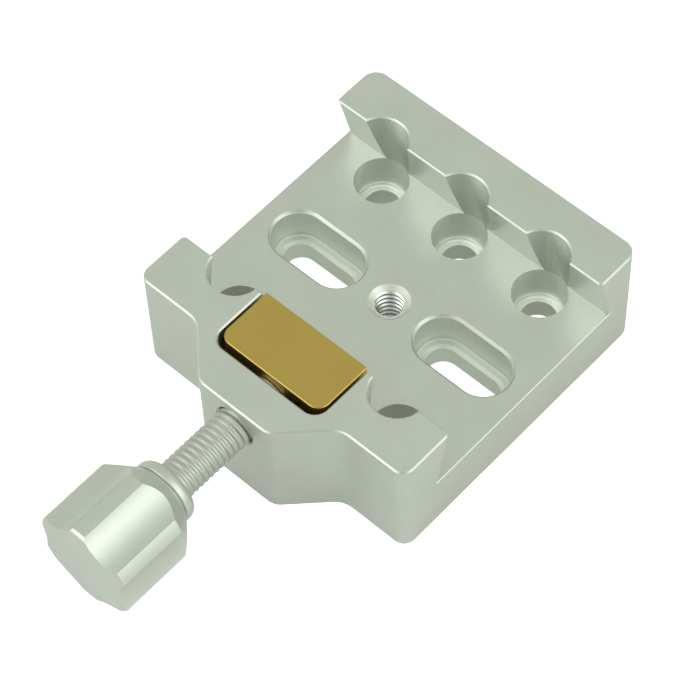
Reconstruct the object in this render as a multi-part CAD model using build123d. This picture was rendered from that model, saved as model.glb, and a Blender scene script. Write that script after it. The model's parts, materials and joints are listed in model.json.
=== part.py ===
from build123d import *
from math import cos, hypot, radians, sin, tan
import os

# Dovetail saddle: a milled plate with two undercut jaws, a sliding clamp shoe and its knob screw.
# Sizes are in millimetres and angles in degrees.
# X runs along the dovetail channel, Y across it and Z up from the base.
# The origin lies in the base, on the axis of the centre thread.

# Saddle body
body_length = 63.3
body_width = 63.0
body_height = 24.3
floor_height = 11.9
far_jaw_width = 10.6
near_jaw_width = 11.9
jaw_slope = 13.0
back_corner_radius = 3.0
wing_corner_radius = 2.4
jaw_end_radius = 0.9
edge_break = 0.3
floor_end_break = 0.15

# Boss that carries the knob screw
boss_reach = 8.9
boss_front_width = 16.4
boss_flank_angle = 45.0
boss_corner_radius = 3.5
boss_root_radius = 5.0
boss_wall = 7.7
boss_mouth_bevel = 0.4

# Bolt holes and slots
hole_spacing_along = 38.5
hole_spacing_across = 38.5
bolt_hole_diameter = 6.6
counterbore_diameter = 10.5
ledge_height = 4.75
ledge_foot_radius = 0.5
rim_bevel_width = 0.75
rim_bevel_depth = 0.4
slot_spacing = 35.3
slot_length = 16.0
slot_pocket_length = 20.1
slot_pocket_width = 10.6
slot_mouth_bevel = 0.5

# Centre thread, as a plain bore at its major diameter
centre_thread_diameter = 6.35
centre_thread_countersink = 8.0

# Clamp shoe and the pocket that guides it
shoe_width = 24.0
shoe_reach = 0.7
shoe_open_gap = 1.4
shoe_side_gap = 0.5
shoe_float = 0.1
shoe_corner_radius = 2.4
shoe_edge_break = 0.15
pocket_corner_radius = 2.8

# Knob screw, with its thread as a plain shank
screw_diameter = 8.0
screw_running_gap = 0.06
exposed_thread = 15.5
collar_diameter = 12.7
collar_length = 2.75
collar_round = 2.0
collar_back_round = 0.4
throat_diameter = 11.8
throat_length = 0.3
grip_diameter = 21.2
grip_length = 18.45
grip_cone_diameter = 12.8
grip_cone_angle = 45.0
grip_end_bevel = 0.5
grip_end_crown = 0.8
flute_count = 6
flute_depth = 1.8
flute_land_angle = 15.0
knob_rest_turn = 1.0

# Grooved tip of the screw and the slot in the shoe that holds it
tip_neck_diameter = 4.4
tip_head_diameter = 6.4
tip_head_length = 2.5
tip_head_bevel = 0.4
shoe_lip = 2.6
tip_gap = 0.1
tip_side_gap = 0.15

# Places that follow from the sizes
half_length = body_length / 2
back_face = body_width / 2
wing_face = -body_width / 2
boss_face = wing_face - boss_reach
far_jaw_tip = back_face - far_jaw_width
near_jaw_tip = wing_face + near_jaw_width
jaw_height = body_height - floor_height
jaw_undercut = jaw_height * tan(radians(jaw_slope))
screw_height = floor_height + jaw_height / 2
pocket_front = boss_face + boss_wall
shoe_front = pocket_front + shoe_open_gap
shoe_back = near_jaw_tip + shoe_reach
collar_face = boss_face - exposed_thread
thread_end = shoe_front - tip_gap
head_front = shoe_front + shoe_lip + tip_gap
head_back = head_front + tip_head_length
cutter_clearance = 1.0


def corner_holes():
    # The four bolt holes that stand on a rectangle about the centre thread.
    x = hole_spacing_along / 2
    y = hole_spacing_across / 2
    return [(-x, -y), (x, -y), (-x, y), (x, y)]


def body_outline():
    # Plan of the body: a square plate whose front swells into the boss.
    flank = boss_reach / tan(radians(boss_flank_angle))
    boss_x = boss_front_width / 2
    root_x = boss_x + flank
    points = [
        (-half_length, back_face),
        (-half_length, wing_face),
        (-root_x, wing_face),
        (-boss_x, boss_face),
        (boss_x, boss_face),
        (root_x, wing_face),
        (half_length, wing_face),
        (half_length, back_face),
    ]
    radii = [
        back_corner_radius,
        wing_corner_radius,
        boss_root_radius,
        boss_corner_radius,
        boss_corner_radius,
        boss_root_radius,
        wing_corner_radius,
        back_corner_radius,
    ]
    return make_face(FilletPolyline(*points, radius=radii, close=True))


def channel_cutter():
    # The dovetail: widest at the floor, with both jaws leaning inwards.
    rise = cutter_clearance
    lean = rise * tan(radians(jaw_slope))
    top = body_height + rise
    section = Polygon(
        (near_jaw_tip - jaw_undercut, floor_height),
        (far_jaw_tip + jaw_undercut, floor_height),
        (far_jaw_tip - lean, top),
        (near_jaw_tip + lean, top),
        align=None,
    )
    return extrude(Plane.YZ * section, amount=half_length + cutter_clearance, both=True)


def pocket_cutter():
    # The pocket behind the boss wall, open to the channel, in which the shoe slides.
    width = shoe_width + 2 * shoe_side_gap
    open_side = near_jaw_tip + cutter_clearance
    depth = open_side - pocket_front
    middle = (open_side + pocket_front) / 2
    height = body_height - floor_height + cutter_clearance
    upright = (Align.CENTER, Align.CENTER, Align.MIN)
    block = Pos(0, middle, floor_height) * Box(width, depth, height, align=upright)
    front_corners = block.edges().filter_by(Axis.Z).group_by(Axis.Y)[0]
    return fillet(front_corners, pocket_corner_radius)


def bolt_hole_cutter(x, y):
    # A counterbored hole with a rounded foot, a bevelled rim on its ledge and a broken edge at its mouth.
    upright = (Align.CENTER, Align.CENTER, Align.MIN)
    well_height = body_height - ledge_height + cutter_clearance
    well_radius = counterbore_diameter / 2
    well = Pos(x, y, ledge_height) * Cylinder(well_radius, well_height, align=upright)
    well = fillet(well.edges().group_by(Axis.Z)[0], ledge_foot_radius)
    radius = bolt_hole_diameter / 2
    bore_height = ledge_height + 2 * cutter_clearance
    bore = Pos(x, y, -cutter_clearance) * Cylinder(radius, bore_height, align=upright)
    rim = Pos(x, y, ledge_height - rim_bevel_depth) * Cone(
        radius, radius + rim_bevel_width, rim_bevel_depth, align=upright
    )
    mouth = Pos(x, y, body_height - edge_break) * Cone(
        well_radius, well_radius + edge_break + cutter_clearance, edge_break + cutter_clearance, align=upright
    )
    return well + bore + rim + mouth


def slot_layer(x, z, length, width):
    return Pos(x, 0, z) * SlotOverall(length, width)


def slot_cutter(x):
    # A counterbored slot along the channel, with a bevelled mouth and a rounded foot.
    floor = floor_height
    bevel = slot_mouth_bevel
    length = slot_pocket_length
    width = slot_pocket_width
    well = extrude(slot_layer(x, ledge_height, length, width), amount=floor - ledge_height)
    well = fillet(well.edges().group_by(Axis.Z)[0], ledge_foot_radius)
    mouth = loft([
        slot_layer(x, floor - bevel, length, width),
        slot_layer(x, floor + bevel, length + 4 * bevel, width + 4 * bevel),
    ])
    passage = extrude(
        slot_layer(x, -cutter_clearance, slot_length, bolt_hole_diameter),
        amount=ledge_height + 2 * cutter_clearance,
    )
    rim_length = slot_length + 2 * rim_bevel_width
    rim_width = bolt_hole_diameter + 2 * rim_bevel_width
    rim = loft([
        slot_layer(x, ledge_height - rim_bevel_depth, slot_length, bolt_hole_diameter),
        slot_layer(x, ledge_height, rim_length, rim_width),
    ])
    return well + mouth + passage + rim


def centre_thread_cutter():
    # The threaded hole through the plate, countersunk at the channel floor.
    upright = (Align.CENTER, Align.CENTER, Align.MIN)
    radius = centre_thread_diameter / 2
    sink_radius = centre_thread_countersink / 2
    sink_depth = sink_radius - radius
    bore_height = floor_height + 2 * cutter_clearance
    bore = Pos(0, 0, -cutter_clearance) * Cylinder(radius, bore_height, align=upright)
    sink = Pos(0, 0, floor_height - sink_depth) * Cone(
        radius, sink_radius + cutter_clearance, sink_depth + cutter_clearance, align=upright
    )
    return bore + sink


def boss_bore_cutter():
    # The bore through the boss wall for the knob screw, with a small lead-in at its mouth.
    radius = screw_diameter / 2
    along_screw = Plane(origin=(0, boss_face, screw_height), x_dir=(1, 0, 0), z_dir=(0, 1, 0))
    start = (Align.CENTER, Align.CENTER, Align.MIN)
    bore = Cylinder(radius, boss_wall + cutter_clearance, align=start)
    mouth = Cone(radius + boss_mouth_bevel, radius, boss_mouth_bevel, align=start)
    return along_screw * (bore + mouth)


def make_saddle_body():
    body = extrude(body_outline(), amount=body_height)
    body -= channel_cutter()
    jaw_ends = body.edges().filter_by(
        lambda edge: abs(abs(edge.center().X) - half_length) < 0.01
        and abs(edge.length - hypot(jaw_height, jaw_undercut)) < 0.01
    )
    body = fillet(jaw_ends, jaw_end_radius)
    body -= pocket_cutter()
    top_edges = body.faces().filter_by(Plane.XY).group_by(Axis.Z)[-1].edges()
    body = chamfer(top_edges, edge_break)
    floor_ends = body.edges().filter_by(Axis.Y).filter_by(
        lambda edge: abs(edge.center().Z - floor_height) < 0.01
        and abs(abs(edge.center().X) - half_length) < 0.01
    )
    body = chamfer(floor_ends, floor_end_break)
    for x, y in corner_holes() + [(0, hole_spacing_across / 2)]:
        body -= bolt_hole_cutter(x, y)
    for side in (-1, 1):
        body -= slot_cutter(side * slot_spacing / 2)
    body -= centre_thread_cutter()
    body -= boss_bore_cutter()
    return body


def tip_slot_cutter():
    # A slot in the shoe, entered from one side, that holds the grooved tip of the screw.
    def layer(diameter, start, end):
        radius = diameter / 2 + tip_side_gap
        reach = shoe_width / 2 + cutter_clearance
        size = end - start
        at_tip = Plane(origin=(0, start, screw_height), x_dir=(1, 0, 0), z_dir=(0, 1, 0))
        bore = Cylinder(radius, size, align=(Align.CENTER, Align.CENTER, Align.MIN))
        side_way = Box(reach, 2 * radius, size, align=(Align.MAX, Align.CENTER, Align.MIN))
        return at_tip * (bore + side_way)

    neck = layer(tip_neck_diameter, shoe_front - cutter_clearance, head_front)
    head = layer(tip_head_diameter, head_front - tip_gap, head_back + tip_gap)
    return neck + head


def make_clamp_shoe():
    # The shoe leans as the jaw does, so its clamping face is an undercut too.
    bottom = floor_height + shoe_float
    top = body_height - shoe_float
    lean = (top - bottom) * tan(radians(jaw_slope))
    side = Polygon(
        (shoe_front, bottom),
        (shoe_back - lean, bottom),
        (shoe_back, top),
        (shoe_front, top),
        align=None,
    )
    shoe = extrude(Plane.YZ * side, amount=shoe_width / 2, both=True)
    front_corners = shoe.edges().filter_by(Axis.Z).group_by(Axis.Y)[0]
    shoe = fillet(front_corners, shoe_corner_radius)
    rims = shoe.faces().filter_by(Plane.XY).edges()
    shoe = chamfer(rims, shoe_edge_break)
    return shoe - tip_slot_cutter()


def knob_profile():
    # Half section of the screw from its tip to the end of the grip, with X as the radius.
    shank = screw_diameter / 2 - screw_running_gap
    head = tip_head_diameter / 2
    neck = tip_neck_diameter / 2
    collar = collar_diameter / 2
    throat = throat_diameter / 2
    cone = grip_cone_diameter / 2
    grip = grip_diameter / 2
    collar_back = collar_face - collar_length
    cone_start = collar_back - throat_length
    cone_end = cone_start - (grip - cone) / tan(radians(grip_cone_angle))
    grip_end = cone_start - grip_length
    outline = Polyline(
        (0, head_back),
        (head - tip_head_bevel, head_back),
        (head, head_back - tip_head_bevel),
        (head, head_front),
        (neck, head_front),
        (neck, thread_end),
        (shank, thread_end),
        (shank, collar_face),
        (collar, collar_face),
        (collar, collar_back),
        (throat, collar_back),
        (throat, cone_start),
        (cone, cone_start),
        (grip, cone_end),
        (grip, grip_end + grip_end_bevel),
        (grip - grip_end_bevel, grip_end),
    )
    crown_top = (0, grip_end - grip_end_crown)
    crown = TangentArc(crown_top, (grip - grip_end_bevel, grip_end), tangent=(1, 0))
    return outline + crown + Line(crown_top, (0, head_back))


def flute_cutter(turn):
    # One flute: a cylinder along the screw that meets the grip at both land edges.
    grip = grip_diameter / 2
    half_angle = radians((360 / flute_count - flute_land_angle) / 2)
    half_chord = grip * sin(half_angle)
    sag = grip * cos(half_angle) - (grip - flute_depth)
    radius = (half_chord ** 2 + sag ** 2) / (2 * sag)
    centre = grip - flute_depth + radius
    throat_place = collar_face - collar_length - throat_length / 2
    length = throat_length / 2 + grip_length + grip_end_crown + cutter_clearance
    along_screw = Plane(origin=(0, throat_place, 0), x_dir=(1, 0, 0), z_dir=(0, -1, 0))
    start = (Align.CENTER, Align.CENTER, Align.MIN)
    cutter = along_screw * Pos(centre, 0, 0) * Cylinder(radius, length, align=start)
    return Rot(0, turn, 0) * cutter


def make_knob_screw():
    screw = revolve(make_face(knob_profile()), Axis.Y)
    front_rim = screw.edges().filter_by(GeomType.CIRCLE).filter_by(
        lambda edge: abs(edge.radius - collar_diameter / 2) < 0.01
        and abs(edge.center().Y - collar_face) < 0.01
    )
    screw = fillet(front_rim, collar_round)
    back_rim = screw.edges().filter_by(GeomType.CIRCLE).filter_by(
        lambda edge: abs(edge.radius - collar_diameter / 2) < 0.01
        and abs(edge.center().Y - (collar_face - collar_length)) < 0.01
    )
    screw = fillet(back_rim, collar_back_round)
    for flute in range(flute_count):
        screw -= flute_cutter(-knob_rest_turn - flute * 360 / flute_count)
    return Pos(0, 0, screw_height) * screw


nodes = {
    "saddle_body": make_saddle_body(),
    "clamp_shoe": make_clamp_shoe(),
    "knob_screw": make_knob_screw(),
}

os.makedirs("parts", exist_ok=True)
for name, shape in nodes.items():
    export_step(shape, f"parts/{name}.step")
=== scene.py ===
import math

import bmesh
import bpy
from bpy.props import FloatProperty, FloatVectorProperty, IntProperty, PointerProperty
from mathutils import Matrix, Vector
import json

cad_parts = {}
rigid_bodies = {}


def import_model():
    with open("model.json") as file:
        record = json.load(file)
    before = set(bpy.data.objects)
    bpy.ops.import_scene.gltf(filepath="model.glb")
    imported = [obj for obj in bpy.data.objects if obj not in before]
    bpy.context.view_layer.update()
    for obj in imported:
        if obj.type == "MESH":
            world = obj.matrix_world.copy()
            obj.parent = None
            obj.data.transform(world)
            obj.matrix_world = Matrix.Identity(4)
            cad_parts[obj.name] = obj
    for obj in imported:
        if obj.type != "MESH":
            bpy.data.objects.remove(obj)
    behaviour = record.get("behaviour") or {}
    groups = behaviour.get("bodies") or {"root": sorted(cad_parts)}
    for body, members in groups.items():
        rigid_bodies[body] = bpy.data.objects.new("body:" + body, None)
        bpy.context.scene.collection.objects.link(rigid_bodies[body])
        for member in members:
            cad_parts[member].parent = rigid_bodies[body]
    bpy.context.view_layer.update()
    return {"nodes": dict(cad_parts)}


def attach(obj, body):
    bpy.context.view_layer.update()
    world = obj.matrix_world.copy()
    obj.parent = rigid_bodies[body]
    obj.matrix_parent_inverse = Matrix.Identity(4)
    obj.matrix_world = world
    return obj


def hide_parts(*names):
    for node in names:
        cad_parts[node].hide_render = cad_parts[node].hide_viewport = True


bl_info = {
    "name": "Dovetail Saddle",
    "version": (1, 0, 0),
    "blender": (4, 5, 0),
    "location": "3D View > Sidebar > Dovetail Saddle",
    "description": "Models and finishes a dovetail saddle with its clamp shoe and knob screw",
    "category": "Object",
}

for startup_object in list(bpy.data.objects):
    bpy.data.objects.remove(startup_object)

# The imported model, in metres. X runs along the channel, Y across it and Z up from the base.
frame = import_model()
MM = 0.001

# Places and sizes of the CAD model that the pieces and the finishes are fitted to.
SCREW_AXIS_HEIGHT = 18.1 * MM
SCREW_COLLAR_FACE = -55.9 * MM
SCREW_THREAD_END = -31.4 * MM
CHANNEL_FLOOR = 11.9 * MM
HOLE_OFFSET = 19.25 * MM
SLOT_OFFSET = 17.65 * MM
SLOT_STRAIGHT_HALF = 4.75 * MM
WELL_RADIUS = 5.35 * MM
WELL_EDGE = 0.1 * MM
CENTRE_BORE_RADIUS = 3.175 * MM
CENTRE_SINK_RADIUS = 4.0 * MM
LEDGE_TOP = 5.3 * MM
LEDGE_FOOT = 4.2 * MM
LEDGE_EDGE = 0.2 * MM

# How much light is painted into the counterbores and slots, how much shade is painted onto the
# threads, and how the milled walls, the ledges and the turned and threaded parts differ from the
# blasted faces.
# Painted light: shares of the brightened well colour in the slots, rising with depth and left off
# their ledges, and in the front counterbores, which lie in the jaw's shade.
SLOT_LIGHT_SHARE = 0.45
SLOT_LIGHT_RISE = 0.75
FRONT_LIGHT_SHARE = 0.35
WALL_ROUGHNESS = 0.1
LEDGE_GLOSS = 0.12
RING_SPACING = 0.92 * MM
RING_START = 4.2 * MM
RING_DEPTH = 0.07 * MM
TURNED_GLOSS = 0.03
CUT_GLOSS = 0.2
# Painted shade: the knob screw's thread and the deep grooves of the centre thread are given a
# darker colour.
THREAD_SHADE = 0.84
GROOVE_START = 2.93 * MM
GROOVE_TOP = 10.4 * MM
GROOVE_SHADE = 0.34

# How the threads are cut and joined to the solid parts.
ROUND_THREAD_POINTS = 10
JOIN_DEPTH = 0.5 * MM
JOIN_OVERLAP = 0.2 * MM
CENTRE_THREAD_START = -2.47
CENTRE_CREST_END = 0.38
CENTRE_ROOT_START = 0.64
CENTRE_ROOT_END = 0.72
CENTRE_STEPS = 64
SLEEVE_BOTTOM = 0.3 * MM
SLEEVE_GAP = 0.004 * MM
SLEEVE_SIDES = 96
SINK_STEEPNESS = 0.25
SMOOTH_ANGLE = math.radians(32)
CAD_MERGE = 2e-7
THREAD_MERGE = 1e-6
CUT_MERGE = 1e-7

# How the noise of the blasted finish is mixed.
CLOUD_CONTRAST = 0.11
CLOUD_SHARE = 0.45
CLOUD_SCALE = 120.0
SPECKLE_SCALE = 0.35
SPECKLE_SHARE = 0.3
GRAIN_ROUGHNESS = 0.06
CLOUD_ROUGHNESS = 0.04

# Where the bright patches of the studio lie, seen from the saddle, and how the paper floor looks.
FRONT_PATCH = (-0.36, -0.76, 0.54)
RIGHT_PATCH = (0.87, 0.27, 0.42)
RIGHT_PATCH_HIGH = (0.66, 0.20, 0.72)
HIGH_SHARE = 0.65
PATCH_DOUBLINGS = 3
OVERHEAD_PATCH = (0.30, -0.30, 0.90)
CAMERA_SIDE = (0.53, -0.58, 0.62)
PAPER_COLOUR = (0.77, 0.77, 0.77, 1.0)
PAPER_GLOW = 0.92
PAPER_SHEEN = 0.06
FLOOR_SIZE = 3.0
FLOOR_GAP = 0.02 * MM

# The camera, in metres, and its lens and sensor, in millimetres.
CAMERA_PLACE = (0.198856, -0.214374, 0.443994)
CAMERA_RIGHT = (0.74032, 0.67183, -0.02401)
CAMERA_FORWARD = (-0.38210, 0.39113, -0.83727)
CAMERA_LENS = 148.01
CAMERA_SENSOR_WIDTH = 36.0
CAMERA_NEAREST = 0.01
CAMERA_FARTHEST = 10.0


class Signal:
    """A node's output that Python's own operators turn into Math nodes."""

    def __init__(self, graph, socket):
        self.graph = graph
        self.socket = socket

    def maths(self, operation, first, second):
        node = self.graph.add("ShaderNodeMath", {"operation": operation}, {0: first, 1: second})
        return Signal(self.graph, node.outputs[0])

    def __add__(self, other):
        return self.maths("ADD", self, other)

    def __radd__(self, other):
        return self.maths("ADD", other, self)

    def __sub__(self, other):
        return self.maths("SUBTRACT", self, other)

    def __rsub__(self, other):
        return self.maths("SUBTRACT", other, self)

    def __mul__(self, other):
        return self.maths("MULTIPLY", self, other)

    def __rmul__(self, other):
        return self.maths("MULTIPLY", other, self)

    def __truediv__(self, other):
        return self.maths("DIVIDE", self, other)

    def __rtruediv__(self, other):
        return self.maths("DIVIDE", other, self)

    def least(self, other):
        return self.maths("MINIMUM", self, other)

    def most(self, other):
        return self.maths("MAXIMUM", self, other)

    def size(self):
        return self.maths("ABSOLUTE", self, 0.0)

    def wave(self):
        return self.maths("SINE", self, 0.0)

    def root(self):
        return self.maths("SQRT", self, 0.0)

    def between_nought_and_one(self):
        return self.most(0.0).least(1.0)


class Graph:
    """The node tree of one material, emptied and built up again."""

    def __init__(self, tree):
        self.tree = tree
        tree.nodes.clear()

    def add(self, kind, settings=None, inputs=None):
        """Adds a node, gives it its settings first and then its sockets' values or links."""
        node = self.tree.nodes.new(kind)
        for name, value in (settings or {}).items():
            setattr(node, name, value)
        for name, value in (inputs or {}).items():
            if isinstance(value, Signal):
                self.tree.links.new(value.socket, node.inputs[name])
            elif isinstance(value, bpy.types.NodeSocket):
                self.tree.links.new(value, node.inputs[name])
            else:
                node.inputs[name].default_value = value
        return node

    def signal(self, node, output=0):
        return Signal(self, node.outputs[output])

    def noise(self, place, scale, detail, roughness):
        node = self.add(
            "ShaderNodeTexNoise",
            {"noise_dimensions": "3D"},
            {"Vector": place, "Scale": scale, "Detail": detail, "Roughness": roughness},
        )
        return self.signal(node, "Fac")

    def mix_colours(self, factor, first, second):
        node = self.add(
            "ShaderNodeMix",
            {"data_type": "RGBA", "clamp_factor": True},
            {"Factor": factor, 6: first, 7: second},
        )
        return node.outputs[2]


def new_material(name):
    material = bpy.data.materials.new(name)
    material.use_nodes = True
    return material, Graph(material.node_tree)


def inside_wells(graph, place):
    """Masks for the counterbores, slots and centre hole, and the distance from the back holes.

    The masks say how much light is painted into each well, brighter with depth in the slots and
    weaker in the front counterbores, and where its ringed ledges and its walls are.
    """
    parts = graph.add("ShaderNodeSeparateXYZ", {}, {"Vector": place})
    x = graph.signal(parts, "X")
    y = graph.signal(parts, "Y")
    z = graph.signal(parts, "Z")
    along = (x.size() - HOLE_OFFSET).size().least(x.size())
    back = (along * along + (y - HOLE_OFFSET) * (y - HOLE_OFFSET)).root()
    front = (along * along + (y + HOLE_OFFSET) * (y + HOLE_OFFSET)).root()
    along = ((x.size() - SLOT_OFFSET).size() - SLOT_STRAIGHT_HALF).most(0.0)
    slot = (along * along + y * y).root()
    sink = (x * x + y * y).root() + (WELL_RADIUS - CENTRE_SINK_RADIUS)
    depth = (CHANNEL_FLOOR - z) / WELL_EDGE
    in_hole, in_front, in_slot = (
        ((WELL_RADIUS + WELL_EDGE - reach) / WELL_EDGE).least(depth).between_nought_and_one()
        for reach in (back.least(sink), front, slot)
    )
    under_top = (LEDGE_TOP - z) / LEDGE_EDGE
    over_foot = (z - LEDGE_FOOT) / LEDGE_EDGE
    ledge = under_top.least(over_foot).between_nought_and_one()
    sunk = ((CHANNEL_FLOOR - z) / (CHANNEL_FLOOR - LEDGE_TOP)).least(1.0)
    # Painted light: the brightening grows with depth in the slots and is weaker in the front
    # counterbores, which lie in the jaw's shade.
    slot_light_share = (SLOT_LIGHT_SHARE + SLOT_LIGHT_RISE * sunk * sunk) * (1 - ledge)
    bright = in_hole + FRONT_LIGHT_SHARE * in_front + slot_light_share * in_slot
    return bright, ledge * in_hole, (1 - ledge) * in_hole + in_slot, back


def threaded_part(graph, place, tint):
    """Where the knob screw is cut with its thread, and the darker colour painted there as shade."""
    y = graph.signal(graph.add("ShaderNodeSeparateXYZ", {}, {"Vector": place}), "Y")
    threaded = ((y - SCREW_COLLAR_FACE) / WELL_EDGE).between_nought_and_one()
    return threaded, [channel * THREAD_SHADE for channel in tint[:3]] + [1.0]


def thread_grooves(graph, place, tint):
    """Where the centre thread lies deeper than its crests, and the darker colour painted there as
    shade in its grooves.
    """
    parts = graph.add("ShaderNodeSeparateXYZ", {}, {"Vector": place})
    x = graph.signal(parts, "X")
    y = graph.signal(parts, "Y")
    deep = ((x * x + y * y).root() - GROOVE_START) / WELL_EDGE
    under_sink = (GROOVE_TOP - graph.signal(parts, "Z")) / WELL_EDGE
    groove = deep.least(under_sink).between_nought_and_one()
    return groove, [channel * GROOVE_SHADE for channel in tint[:3]] + [1.0]


def blasted_metal(name, tint, roughness, grain_size, grain_depth, well_light_tint=None, shaded_part=None):
    """A metal that was bead blasted and anodised: fine dimples, faint clouds and no direction, with
    painted light inside the wells and painted shade on a shaded part when these are given.
    """
    material, graph = new_material(name)
    place = graph.add("ShaderNodeTexCoord").outputs["Object"]
    grain = graph.noise(place, 1 / grain_size, 1.0, 0.6)
    speckle = graph.noise(place, SPECKLE_SCALE / grain_size, 2.0, 0.6)
    clouds = graph.noise(place, CLOUD_SCALE, 2.0, 0.5)
    dark = [channel * (1 - CLOUD_CONTRAST) for channel in tint[:3]] + [1.0]
    light = [min(1.0, channel * (1 + CLOUD_CONTRAST)) for channel in tint[:3]] + [1.0]
    colour = graph.mix_colours(CLOUD_SHARE * clouds + (1 - CLOUD_SHARE) * speckle, dark, light)
    height = grain_depth * ((1 - SPECKLE_SHARE) * grain + SPECKLE_SHARE * speckle)
    if well_light_tint:
        # Painted light: inside the wells the colour is brightened towards the well colour.
        bright, ringed, wall, from_middle = inside_wells(graph, place)
        colour = graph.mix_colours(bright, colour, well_light_tint)
        roughness = roughness + WALL_ROUGHNESS * wall - LEDGE_GLOSS * ringed
        rings = (2 * math.pi / RING_SPACING * (from_middle - RING_START)).wave()
        height = height + RING_DEPTH * ringed * rings
    # Painted shade: the shaded part is given a darker colour.
    if shaded_part:
        shaded, shade_tint = shaded_part(graph, place, tint)
        colour = graph.mix_colours(shaded, colour, shade_tint)
    dimples = graph.add(
        "ShaderNodeBump",
        {},
        {"Strength": 1.0, "Distance": 1.0, "Height": height},
    )
    uneven = GRAIN_ROUGHNESS * (grain - 0.5) + CLOUD_ROUGHNESS * (clouds - 0.5)
    shader = graph.add(
        "ShaderNodeBsdfPrincipled",
        {},
        {
            "Base Color": colour,
            "Metallic": 1.0,
            "Roughness": roughness + uneven,
            "Normal": dimples.outputs["Normal"],
        },
    )
    graph.add("ShaderNodeOutputMaterial", {}, {"Surface": shader.outputs["BSDF"]})
    return material


def set_material(piece, material):
    piece.data.materials.clear()
    piece.data.materials.append(material)


def deselect_everything():
    if bpy.context.mode != "OBJECT":
        bpy.ops.object.mode_set(mode="OBJECT")
    bpy.ops.object.select_all(action="DESELECT")


def make_active(piece):
    deselect_everything()
    piece.select_set(True)
    bpy.context.view_layer.objects.active = piece


def apply_modifier(piece, kind, **settings):
    make_active(piece)
    modifier = piece.modifiers.new(kind.title(), kind)
    for name, value in settings.items():
        setattr(modifier, name, value)
    bpy.ops.object.modifier_apply(modifier=modifier.name)


def settle_place(piece):
    """Moves the piece's place, turn and size into its mesh."""
    make_active(piece)
    bpy.ops.object.transform_apply(location=True, rotation=True, scale=True)


def select_vertices(piece, test):
    """Selects the vertices that pass the test, in edit mode, and what lies between them."""
    mesh = bmesh.from_edit_mesh(piece.data)
    bpy.ops.mesh.select_mode(type="VERT")
    bpy.ops.mesh.select_all(action="DESELECT")
    for vertex in mesh.verts:
        vertex.select_set(test(vertex.co))
    mesh.select_flush(True)
    bmesh.update_edit_mesh(piece.data)


def cut_flat(piece, point, normal, keep_front):
    """Cuts a closed piece with a plane, throws one side away and closes the cut."""
    make_active(piece)
    bpy.ops.object.mode_set(mode="EDIT")
    bpy.ops.mesh.select_all(action="SELECT")
    bpy.ops.mesh.bisect(
        plane_co=point,
        plane_no=normal,
        use_fill=True,
        clear_inner=keep_front,
        clear_outer=not keep_front,
        threshold=CUT_MERGE,
    )
    bpy.ops.object.mode_set(mode="OBJECT")


def copy_of_node(node, name):
    """A merged copy of a CAD node's mesh, as a piece of its own."""
    original = frame["nodes"][node]
    piece = bpy.data.objects.new(name, original.data.copy())
    bpy.context.scene.collection.objects.link(piece)
    make_active(piece)
    if piece.data.has_custom_normals:
        bpy.ops.mesh.customdata_custom_splitnormals_clear()
    bpy.ops.object.mode_set(mode="EDIT")
    bpy.ops.mesh.select_all(action="SELECT")
    bpy.ops.mesh.remove_doubles(threshold=CAD_MERGE)
    bpy.ops.object.mode_set(mode="OBJECT")
    return piece


def round_thread(root, crest, start, pitch):
    """One pitch of a thread with rounded roots and crests, as radius and place along the axis."""
    points = ROUND_THREAD_POINTS
    middle = (root + crest) / 2
    swing = (crest - root) / 2
    return [
        (middle - swing * math.cos(2 * math.pi * step / points), start + pitch * step / points)
        for step in range(points + 1)
    ]


def screw_profile(name, points, axis_point, turns, pitch, steps, along):
    """Winds an open profile, given as radius and place along the axis, into a right-hand thread."""
    deselect_everything()
    length = points[-1][1] - points[0][1]
    bpy.ops.mesh.primitive_plane_add(size=length)
    piece = bpy.context.object
    piece.name = name
    bpy.ops.object.mode_set(mode="EDIT")
    select_vertices(piece, lambda co: co.x > 0)
    bpy.ops.mesh.delete(type="VERT")
    bpy.ops.mesh.select_all(action="SELECT")
    bpy.ops.mesh.subdivide(number_cuts=len(points) - 2)
    mesh = bmesh.from_edit_mesh(piece.data)
    ordered = sorted(mesh.verts, key=lambda vertex: vertex.co.y)
    for vertex, (radius, place) in zip(ordered, points):
        if along == "Y":
            vertex.co = Vector((radius, place, 0))
        else:
            vertex.co = Vector((radius, 0, place))
    bmesh.update_edit_mesh(piece.data)
    bpy.ops.object.mode_set(mode="OBJECT")
    apply_modifier(
        piece,
        "SCREW",
        axis=along,
        angle=2 * math.pi,
        screw_offset=pitch,
        iterations=turns,
        steps=steps,
        render_steps=steps,
        use_merge_vertices=False,
    )
    make_active(piece)
    bpy.ops.object.mode_set(mode="EDIT")
    bpy.ops.mesh.select_all(action="SELECT")
    bpy.ops.mesh.remove_doubles(threshold=THREAD_MERGE)
    bpy.ops.object.mode_set(mode="OBJECT")
    piece.location = axis_point
    settle_place(piece)
    return piece


def face_outwards(piece):
    make_active(piece)
    bpy.ops.object.mode_set(mode="EDIT")
    bpy.ops.mesh.select_all(action="SELECT")
    bpy.ops.mesh.normals_make_consistent(inside=False)
    bpy.ops.object.mode_set(mode="OBJECT")


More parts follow.
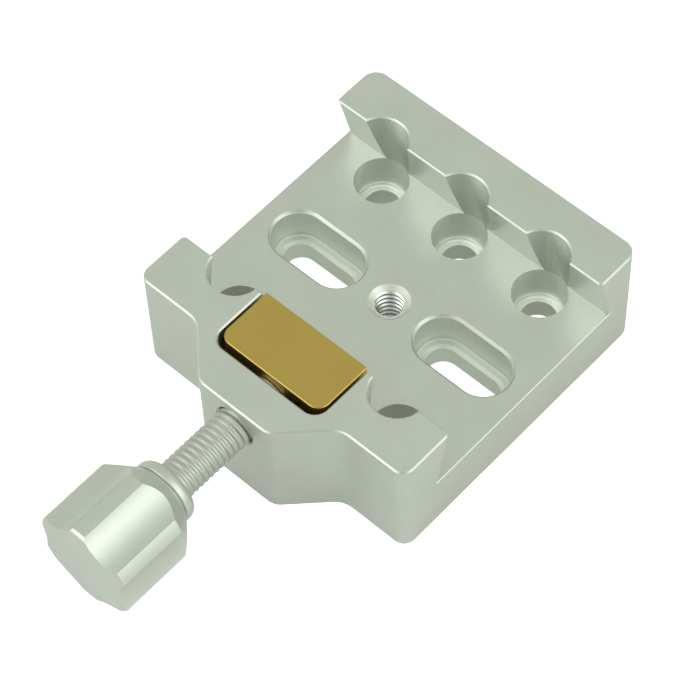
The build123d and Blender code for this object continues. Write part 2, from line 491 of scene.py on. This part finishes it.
class SaddleFinish(bpy.types.PropertyGroup):
    """The finish of the saddle body, the shoe and the knob screw."""

    aluminium_colour: FloatVectorProperty(
        name="Aluminium Colour",
        description="Colour of the clear anodised aluminium",
        subtype="COLOR",
        size=4,
        min=0.0,
        max=1.0,
        default=(0.745, 0.765, 0.72, 1.0),
    )
    aluminium_roughness: FloatProperty(
        name="Aluminium Roughness",
        description="How matt the blasted aluminium is",
        subtype="FACTOR",
        min=0.0,
        max=1.0,
        default=0.42,
    )
    # Painted light: a brighter colour that stands in for the light inside the counterbores and
    # slots, used for the centre thread as well.
    well_light_colour: FloatVectorProperty(
        name="Well Colour",
        description="Colour of the milled walls and ledges inside the counterbores and slots",
        subtype="COLOR",
        size=4,
        min=0.0,
        max=1.0,
        default=(0.92, 0.955, 0.89, 1.0),
    )
    brass_colour: FloatVectorProperty(
        name="Brass Colour",
        description="Colour of the clamp shoe",
        subtype="COLOR",
        size=4,
        min=0.0,
        max=1.0,
        default=(0.64, 0.45, 0.122, 1.0),
    )
    brass_roughness: FloatProperty(
        name="Brass Roughness",
        description="How matt the clamp shoe is",
        subtype="FACTOR",
        min=0.0,
        max=1.0,
        default=0.36,
    )
    grain_size: FloatProperty(
        name="Grain Size",
        description="Size of the dimples that blasting left",
        unit="LENGTH",
        min=0.00002,
        max=0.001,
        default=0.00012,
        precision=5,
    )
    grain_depth: FloatProperty(
        name="Grain Depth",
        description="Depth of the dimples that blasting left",
        unit="LENGTH",
        min=0.0,
        max=0.0001,
        default=0.000006,
        precision=6,
    )


class ScrewThread(bpy.types.PropertyGroup):
    """The thread of the knob screw."""

    pitch: FloatProperty(
        name="Pitch",
        description="Travel of the screw in one turn",
        unit="LENGTH",
        min=0.0005,
        max=0.003,
        default=0.00125,
        precision=5,
    )
    crest_radius: FloatProperty(
        name="Crest Radius",
        description="Distance of the thread's crests from the screw's axis",
        unit="LENGTH",
        min=0.002,
        max=0.0099,
        default=0.00387,
        precision=5,
    )
    root_radius: FloatProperty(
        name="Root Radius",
        description="Distance of the thread's roots from the screw's axis",
        unit="LENGTH",
        min=0.002,
        max=0.0099,
        default=0.00367,
        precision=5,
    )
    steps: IntProperty(
        name="Steps",
        description="Straight pieces in one turn of the thread",
        min=12,
        max=128,
        default=56,
    )


class CentreThread(bpy.types.PropertyGroup):
    """The thread of the hole in the middle of the channel."""

    pitch: FloatProperty(
        name="Pitch",
        description="Travel of a screw in this hole in one turn",
        unit="LENGTH",
        min=0.0005,
        max=0.003,
        default=0.00127,
        precision=5,
    )
    crest_radius: FloatProperty(
        name="Crest Radius",
        description="Distance of the inner thread's crests from the hole's axis",
        unit="LENGTH",
        min=0.001,
        max=0.0035,
        default=0.00271,
        precision=5,
    )
    root_radius: FloatProperty(
        name="Root Radius",
        description="Distance of the inner thread's roots from the hole's axis",
        unit="LENGTH",
        min=0.001,
        max=0.0035,
        default=0.00314,
        precision=5,
    )


class StudioStage(bpy.types.PropertyGroup):
    """The floor, the light and the camera."""

    sky_colour: FloatVectorProperty(
        name="Sky Colour",
        description="Colour of the even light",
        subtype="COLOR",
        size=4,
        min=0.0,
        max=1.0,
        default=(0.931, 1.0, 0.876, 1.0),
    )
    patch_colour: FloatVectorProperty(
        name="Patch Colour",
        description="Colour of the bright patches",
        subtype="COLOR",
        size=4,
        min=0.0,
        max=1.0,
        default=(0.965, 1.0, 0.985, 1.0),
    )
    sky_level: FloatProperty(
        name="Sky Level",
        description="Brightness of the even light from all round",
        min=0.0,
        max=5.0,
        default=0.62,
    )
    front_level: FloatProperty(
        name="Front Level",
        description="Brightness of the patch in front on the left",
        min=0.0,
        max=5.0,
        default=1.45,
    )
    right_level: FloatProperty(
        name="Right Level",
        description="Brightness of the two patches on the right",
        min=0.0,
        max=5.0,
        default=0.74,
    )
    overhead_level: FloatProperty(
        name="Overhead Level",
        description="Brightness of the patch overhead, on the near side",
        min=0.0,
        max=5.0,
        default=0.1,
    )
    camera_side_level: FloatProperty(
        name="Camera Side Level",
        description="What the patch round the camera takes away from the even light",
        min=0.0,
        max=1.0,
        default=0.38,
    )


class SADDLE_OT_finish_body(bpy.types.Operator):
    """Gives the saddle body its blasted and anodised finish, with painted light in its counterbores
    and slots
    """

    bl_idname = "saddle.finish_body"
    bl_label = "Finish Saddle Body"

    def execute(self, context):
        finish = context.scene.saddle_finish
        body = frame["nodes"]["saddle_body"]
        set_material(
            body,
            blasted_metal(
                "blasted_aluminium_body",
                finish.aluminium_colour,
                finish.aluminium_roughness,
                finish.grain_size,
                finish.grain_depth,
                # Painted light inside the counterbores and slots.
                finish.well_light_colour,
            ),
        )
        return {"FINISHED"}


class SADDLE_OT_finish_shoe(bpy.types.Operator):
    """Gives the clamp shoe its satin brass finish"""

    bl_idname = "saddle.finish_shoe"
    bl_label = "Finish Clamp Shoe"

    def execute(self, context):
        finish = context.scene.saddle_finish
        shoe = frame["nodes"]["clamp_shoe"]
        set_material(
            shoe,
            blasted_metal(
                "satin_brass_shoe",
                finish.brass_colour,
                finish.brass_roughness,
                finish.grain_size,
                finish.grain_depth,
            ),
        )
        return {"FINISHED"}


class SADDLE_OT_model_knob_screw(bpy.types.Operator):
    """Models the knob screw with its thread and finishes it"""

    bl_idname = "saddle.model_knob_screw"
    bl_label = "Model Knob Screw"

    def execute(self, context):
        finish = context.scene.saddle_finish
        thread = context.scene.screw_thread
        grip = copy_of_node("knob_screw", "knob_screw_piece")
        cut_flat(grip, (0, SCREW_COLLAR_FACE + JOIN_DEPTH, 0), (0, 1, 0), False)
        tip = copy_of_node("knob_screw", "knob_screw_tip")
        cut_flat(tip, (0, SCREW_THREAD_END - 2 * JOIN_OVERLAP, 0), (0, 1, 0), True)
        pitch = thread.pitch
        start = SCREW_COLLAR_FACE - 1.5 * pitch
        turns = math.ceil((SCREW_THREAD_END - start) / pitch) + 2
        profile = round_thread(thread.root_radius, thread.crest_radius, start, pitch)
        rod = screw_profile(
            "screw_thread_rod", profile, (0, 0, SCREW_AXIS_HEIGHT), turns, pitch, thread.steps, "Y"
        )
        cut_flat(rod, (0, SCREW_COLLAR_FACE - 1.5 * JOIN_OVERLAP, 0), (0, 1, 0), True)
        cut_flat(rod, (0, SCREW_THREAD_END - 0.5 * JOIN_OVERLAP, 0), (0, 1, 0), False)
        face_outwards(rod)
        deselect_everything()
        for piece in (tip, rod, grip):
            piece.select_set(True)
        context.view_layer.objects.active = grip
        bpy.ops.object.join()
        make_active(grip)
        bpy.ops.object.shade_smooth_by_angle(angle=SMOOTH_ANGLE)
        set_material(
            grip,
            blasted_metal(
                "blasted_aluminium_knob",
                finish.aluminium_colour,
                finish.aluminium_roughness - TURNED_GLOSS,
                finish.grain_size,
                finish.grain_depth,
                # Painted shade: the threaded shank is given a darker colour.
                shaded_part=threaded_part,
            ),
        )
        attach(grip, "knob")
        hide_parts("knob_screw")
        return {"FINISHED"}


class SADDLE_OT_model_centre_thread(bpy.types.Operator):
    """Models the thread inside the centre hole and finishes it"""

    bl_idname = "saddle.model_centre_thread"
    bl_label = "Model Centre Thread"

    def execute(self, context):
        finish = context.scene.saddle_finish
        thread = context.scene.centre_thread
        pitch = thread.pitch
        root = thread.root_radius
        crest = thread.crest_radius
        start = CENTRE_THREAD_START * pitch
        profile = [
            (crest, start),
            (crest, start + CENTRE_CREST_END * pitch),
            (root, start + CENTRE_ROOT_START * pitch),
            (root, start + CENTRE_ROOT_END * pitch),
            (crest, start + pitch),
        ]
        turns = math.ceil((CHANNEL_FLOOR + 5 * pitch) / pitch)
        void = screw_profile(
            "centre_thread_void", profile, (0, 0, 0), turns, pitch, CENTRE_STEPS, "Z"
        )
        cut_flat(void, (0, 0, -pitch), (0, 0, 1), True)
        cut_flat(void, (0, 0, CHANNEL_FLOOR + pitch), (0, 0, 1), False)
        face_outwards(void)
        deselect_everything()
        height = CHANNEL_FLOOR - SLEEVE_BOTTOM
        bpy.ops.mesh.primitive_cylinder_add(
            vertices=SLEEVE_SIDES,
            radius=CENTRE_BORE_RADIUS - SLEEVE_GAP,
            depth=height,
            location=(0, 0, SLEEVE_BOTTOM + height / 2),
        )
        sleeve = context.object
        sleeve.name = "centre_thread"
        settle_place(sleeve)
        deselect_everything()
        depth = CENTRE_SINK_RADIUS
        sink_rim = CHANNEL_FLOOR - (CENTRE_SINK_RADIUS - CENTRE_BORE_RADIUS)
        sink_foot = sink_rim - SINK_STEEPNESS * CENTRE_BORE_RADIUS
        bpy.ops.mesh.primitive_cone_add(
            vertices=SLEEVE_SIDES,
            radius1=0,
            radius2=depth / SINK_STEEPNESS,
            depth=depth,
            location=(0, 0, sink_foot + depth / 2),
        )
        sink = context.object
        settle_place(sink)
        for cutter in (void, sink):
            apply_modifier(sleeve, "BOOLEAN", operation="DIFFERENCE", solver="EXACT", object=cutter)
            bpy.data.objects.remove(cutter)
        make_active(sleeve)
        bpy.ops.object.shade_smooth_by_angle(angle=SMOOTH_ANGLE)
        # Painted light and shade: the centre thread takes the brightened well colour, and its
        # grooves are given a darker colour as painted shade.
        set_material(
            sleeve,
            blasted_metal(
                "cut_aluminium_thread",
                finish.well_light_colour,
                finish.aluminium_roughness - CUT_GLOSS,
                finish.grain_size,
                finish.grain_depth * 0.5,
                shaded_part=thread_grooves,
            ),
        )
        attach(sleeve, "saddle")
        return {"FINISHED"}


class SADDLE_OT_set_stage(bpy.types.Operator):
    """Sets the floor, the light and the camera"""

    bl_idname = "saddle.set_stage"
    bl_label = "Set Stage"

    def execute(self, context):
        stage = context.scene.studio_stage
        self.make_floor()
        self.make_world(context, stage)
        self.make_camera(context)
        context.scene.view_settings.view_transform = "Standard"
        return {"FINISHED"}

    def make_floor(self):
        deselect_everything()
        bpy.ops.mesh.primitive_plane_add(size=FLOOR_SIZE, location=(0, 0, -FLOOR_GAP))
        floor = bpy.context.object
        floor.name = "studio_floor"
        material, graph = new_material("white_studio_floor")
        path = graph.add("ShaderNodeLightPath")
        seen = graph.signal(path, "Is Camera Ray") + graph.signal(path, "Is Transmission Ray")
        strength = PAPER_GLOW * seen + PAPER_SHEEN * graph.signal(path, "Is Glossy Ray")
        paper = graph.add("ShaderNodeBsdfDiffuse", {}, {"Color": PAPER_COLOUR})
        glow = graph.add("ShaderNodeEmission", {}, {"Color": (1, 1, 1, 1), "Strength": strength})
        both = graph.add("ShaderNodeAddShader", {}, {0: paper.outputs[0], 1: glow.outputs[0]})
        graph.add("ShaderNodeOutputMaterial", {}, {"Surface": both.outputs[0]})
        set_material(floor, material)

    def make_world(self, context, stage):
        """An even sky with soft bright patches, white where the camera looks straight at it."""
        world = context.scene.world or bpy.data.worlds.new("studio_world")
        context.scene.world = world
        world.use_nodes = True
        graph = Graph(world.node_tree)
        sky = graph.add("ShaderNodeTexCoord").outputs["Generated"]
        patches = 0.0
        for direction, level in (
            (FRONT_PATCH, stage.front_level),
            (RIGHT_PATCH_HIGH, HIGH_SHARE * stage.right_level),
            (RIGHT_PATCH, stage.right_level),
            (OVERHEAD_PATCH, stage.overhead_level),
        ):
            patches = patches + level * self.soft_patch(graph, sky, direction)
        camera_side = self.soft_patch(graph, sky, CAMERA_SIDE)
        even = stage.sky_level - stage.camera_side_level * camera_side
        light = even + patches
        path = graph.add("ShaderNodeLightPath")
        seen = graph.signal(path, "Is Camera Ray")
        colour = graph.mix_colours(patches / light, stage.sky_colour, stage.patch_colour)
        colour = graph.mix_colours(seen, colour, (1, 1, 1, 1))
        strength = light * (1 - seen) + seen
        back = graph.add("ShaderNodeBackground", {}, {"Color": colour, "Strength": strength})
        graph.add("ShaderNodeOutputWorld", {}, {"Surface": back.outputs[0]})

    def soft_patch(self, graph, sky, direction):
        """Falls from one in its direction to almost nought about 50 degrees away."""
        towards = Vector(direction).normalized()
        node = graph.add("ShaderNodeVectorMath", {"operation": "DOT_PRODUCT"}, {0: sky, 1: towards})
        level = graph.signal(node, "Value").most(0.0)
        for doubling in range(PATCH_DOUBLINGS):
            level = level * level
        return level

    def make_camera(self, context):
        camera = bpy.data.objects.new("studio_camera", bpy.data.cameras.new("studio_camera"))
        context.scene.collection.objects.link(camera)
        right = Vector(CAMERA_RIGHT).normalized()
        forward = Vector(CAMERA_FORWARD).normalized()
        up = right.cross(forward).normalized()
        turn = Matrix((right, up, -forward)).transposed().to_4x4()
        camera.matrix_world = Matrix.Translation(CAMERA_PLACE) @ turn
        camera.data.sensor_width = CAMERA_SENSOR_WIDTH
        camera.data.lens = CAMERA_LENS
        camera.data.clip_start = CAMERA_NEAREST
        camera.data.clip_end = CAMERA_FARTHEST
        context.scene.camera = camera


class SADDLE_PT_panel(bpy.types.Panel):
    """Lists the sizes and the operators in the 3D view's sidebar"""

    bl_label = "Dovetail Saddle"
    bl_idname = "SADDLE_PT_panel"
    bl_space_type = "VIEW_3D"
    bl_region_type = "UI"
    bl_category = "Dovetail Saddle"

    def draw(self, context):
        layout = self.layout
        for group in ("saddle_finish", "screw_thread", "centre_thread", "studio_stage"):
            box = layout.box()
            settings = getattr(context.scene, group)
            for name in settings.__annotations__:
                box.prop(settings, name)
        for operator in OPERATORS:
            layout.operator(operator.bl_idname)


OPERATORS = (
    SADDLE_OT_finish_body,
    SADDLE_OT_finish_shoe,
    SADDLE_OT_model_knob_screw,
    SADDLE_OT_model_centre_thread,
    SADDLE_OT_set_stage,
)
GROUPS = {
    "saddle_finish": SaddleFinish,
    "screw_thread": ScrewThread,
    "centre_thread": CentreThread,
    "studio_stage": StudioStage,
}


def register():
    for name, group in GROUPS.items():
        bpy.utils.register_class(group)
        setattr(bpy.types.Scene, name, PointerProperty(type=group))
    for item in OPERATORS + (SADDLE_PT_panel,):
        bpy.utils.register_class(item)


def unregister():
    for item in reversed(OPERATORS + (SADDLE_PT_panel,)):
        bpy.utils.unregister_class(item)
    for name, group in GROUPS.items():
        delattr(bpy.types.Scene, name)
        bpy.utils.unregister_class(group)


def main():
    register()
    bpy.ops.saddle.finish_body()
    bpy.ops.saddle.finish_shoe()
    bpy.ops.saddle.model_knob_screw()
    bpy.ops.saddle.model_centre_thread()
    bpy.ops.saddle.set_stage()


if __name__ == "__main__":
    main()
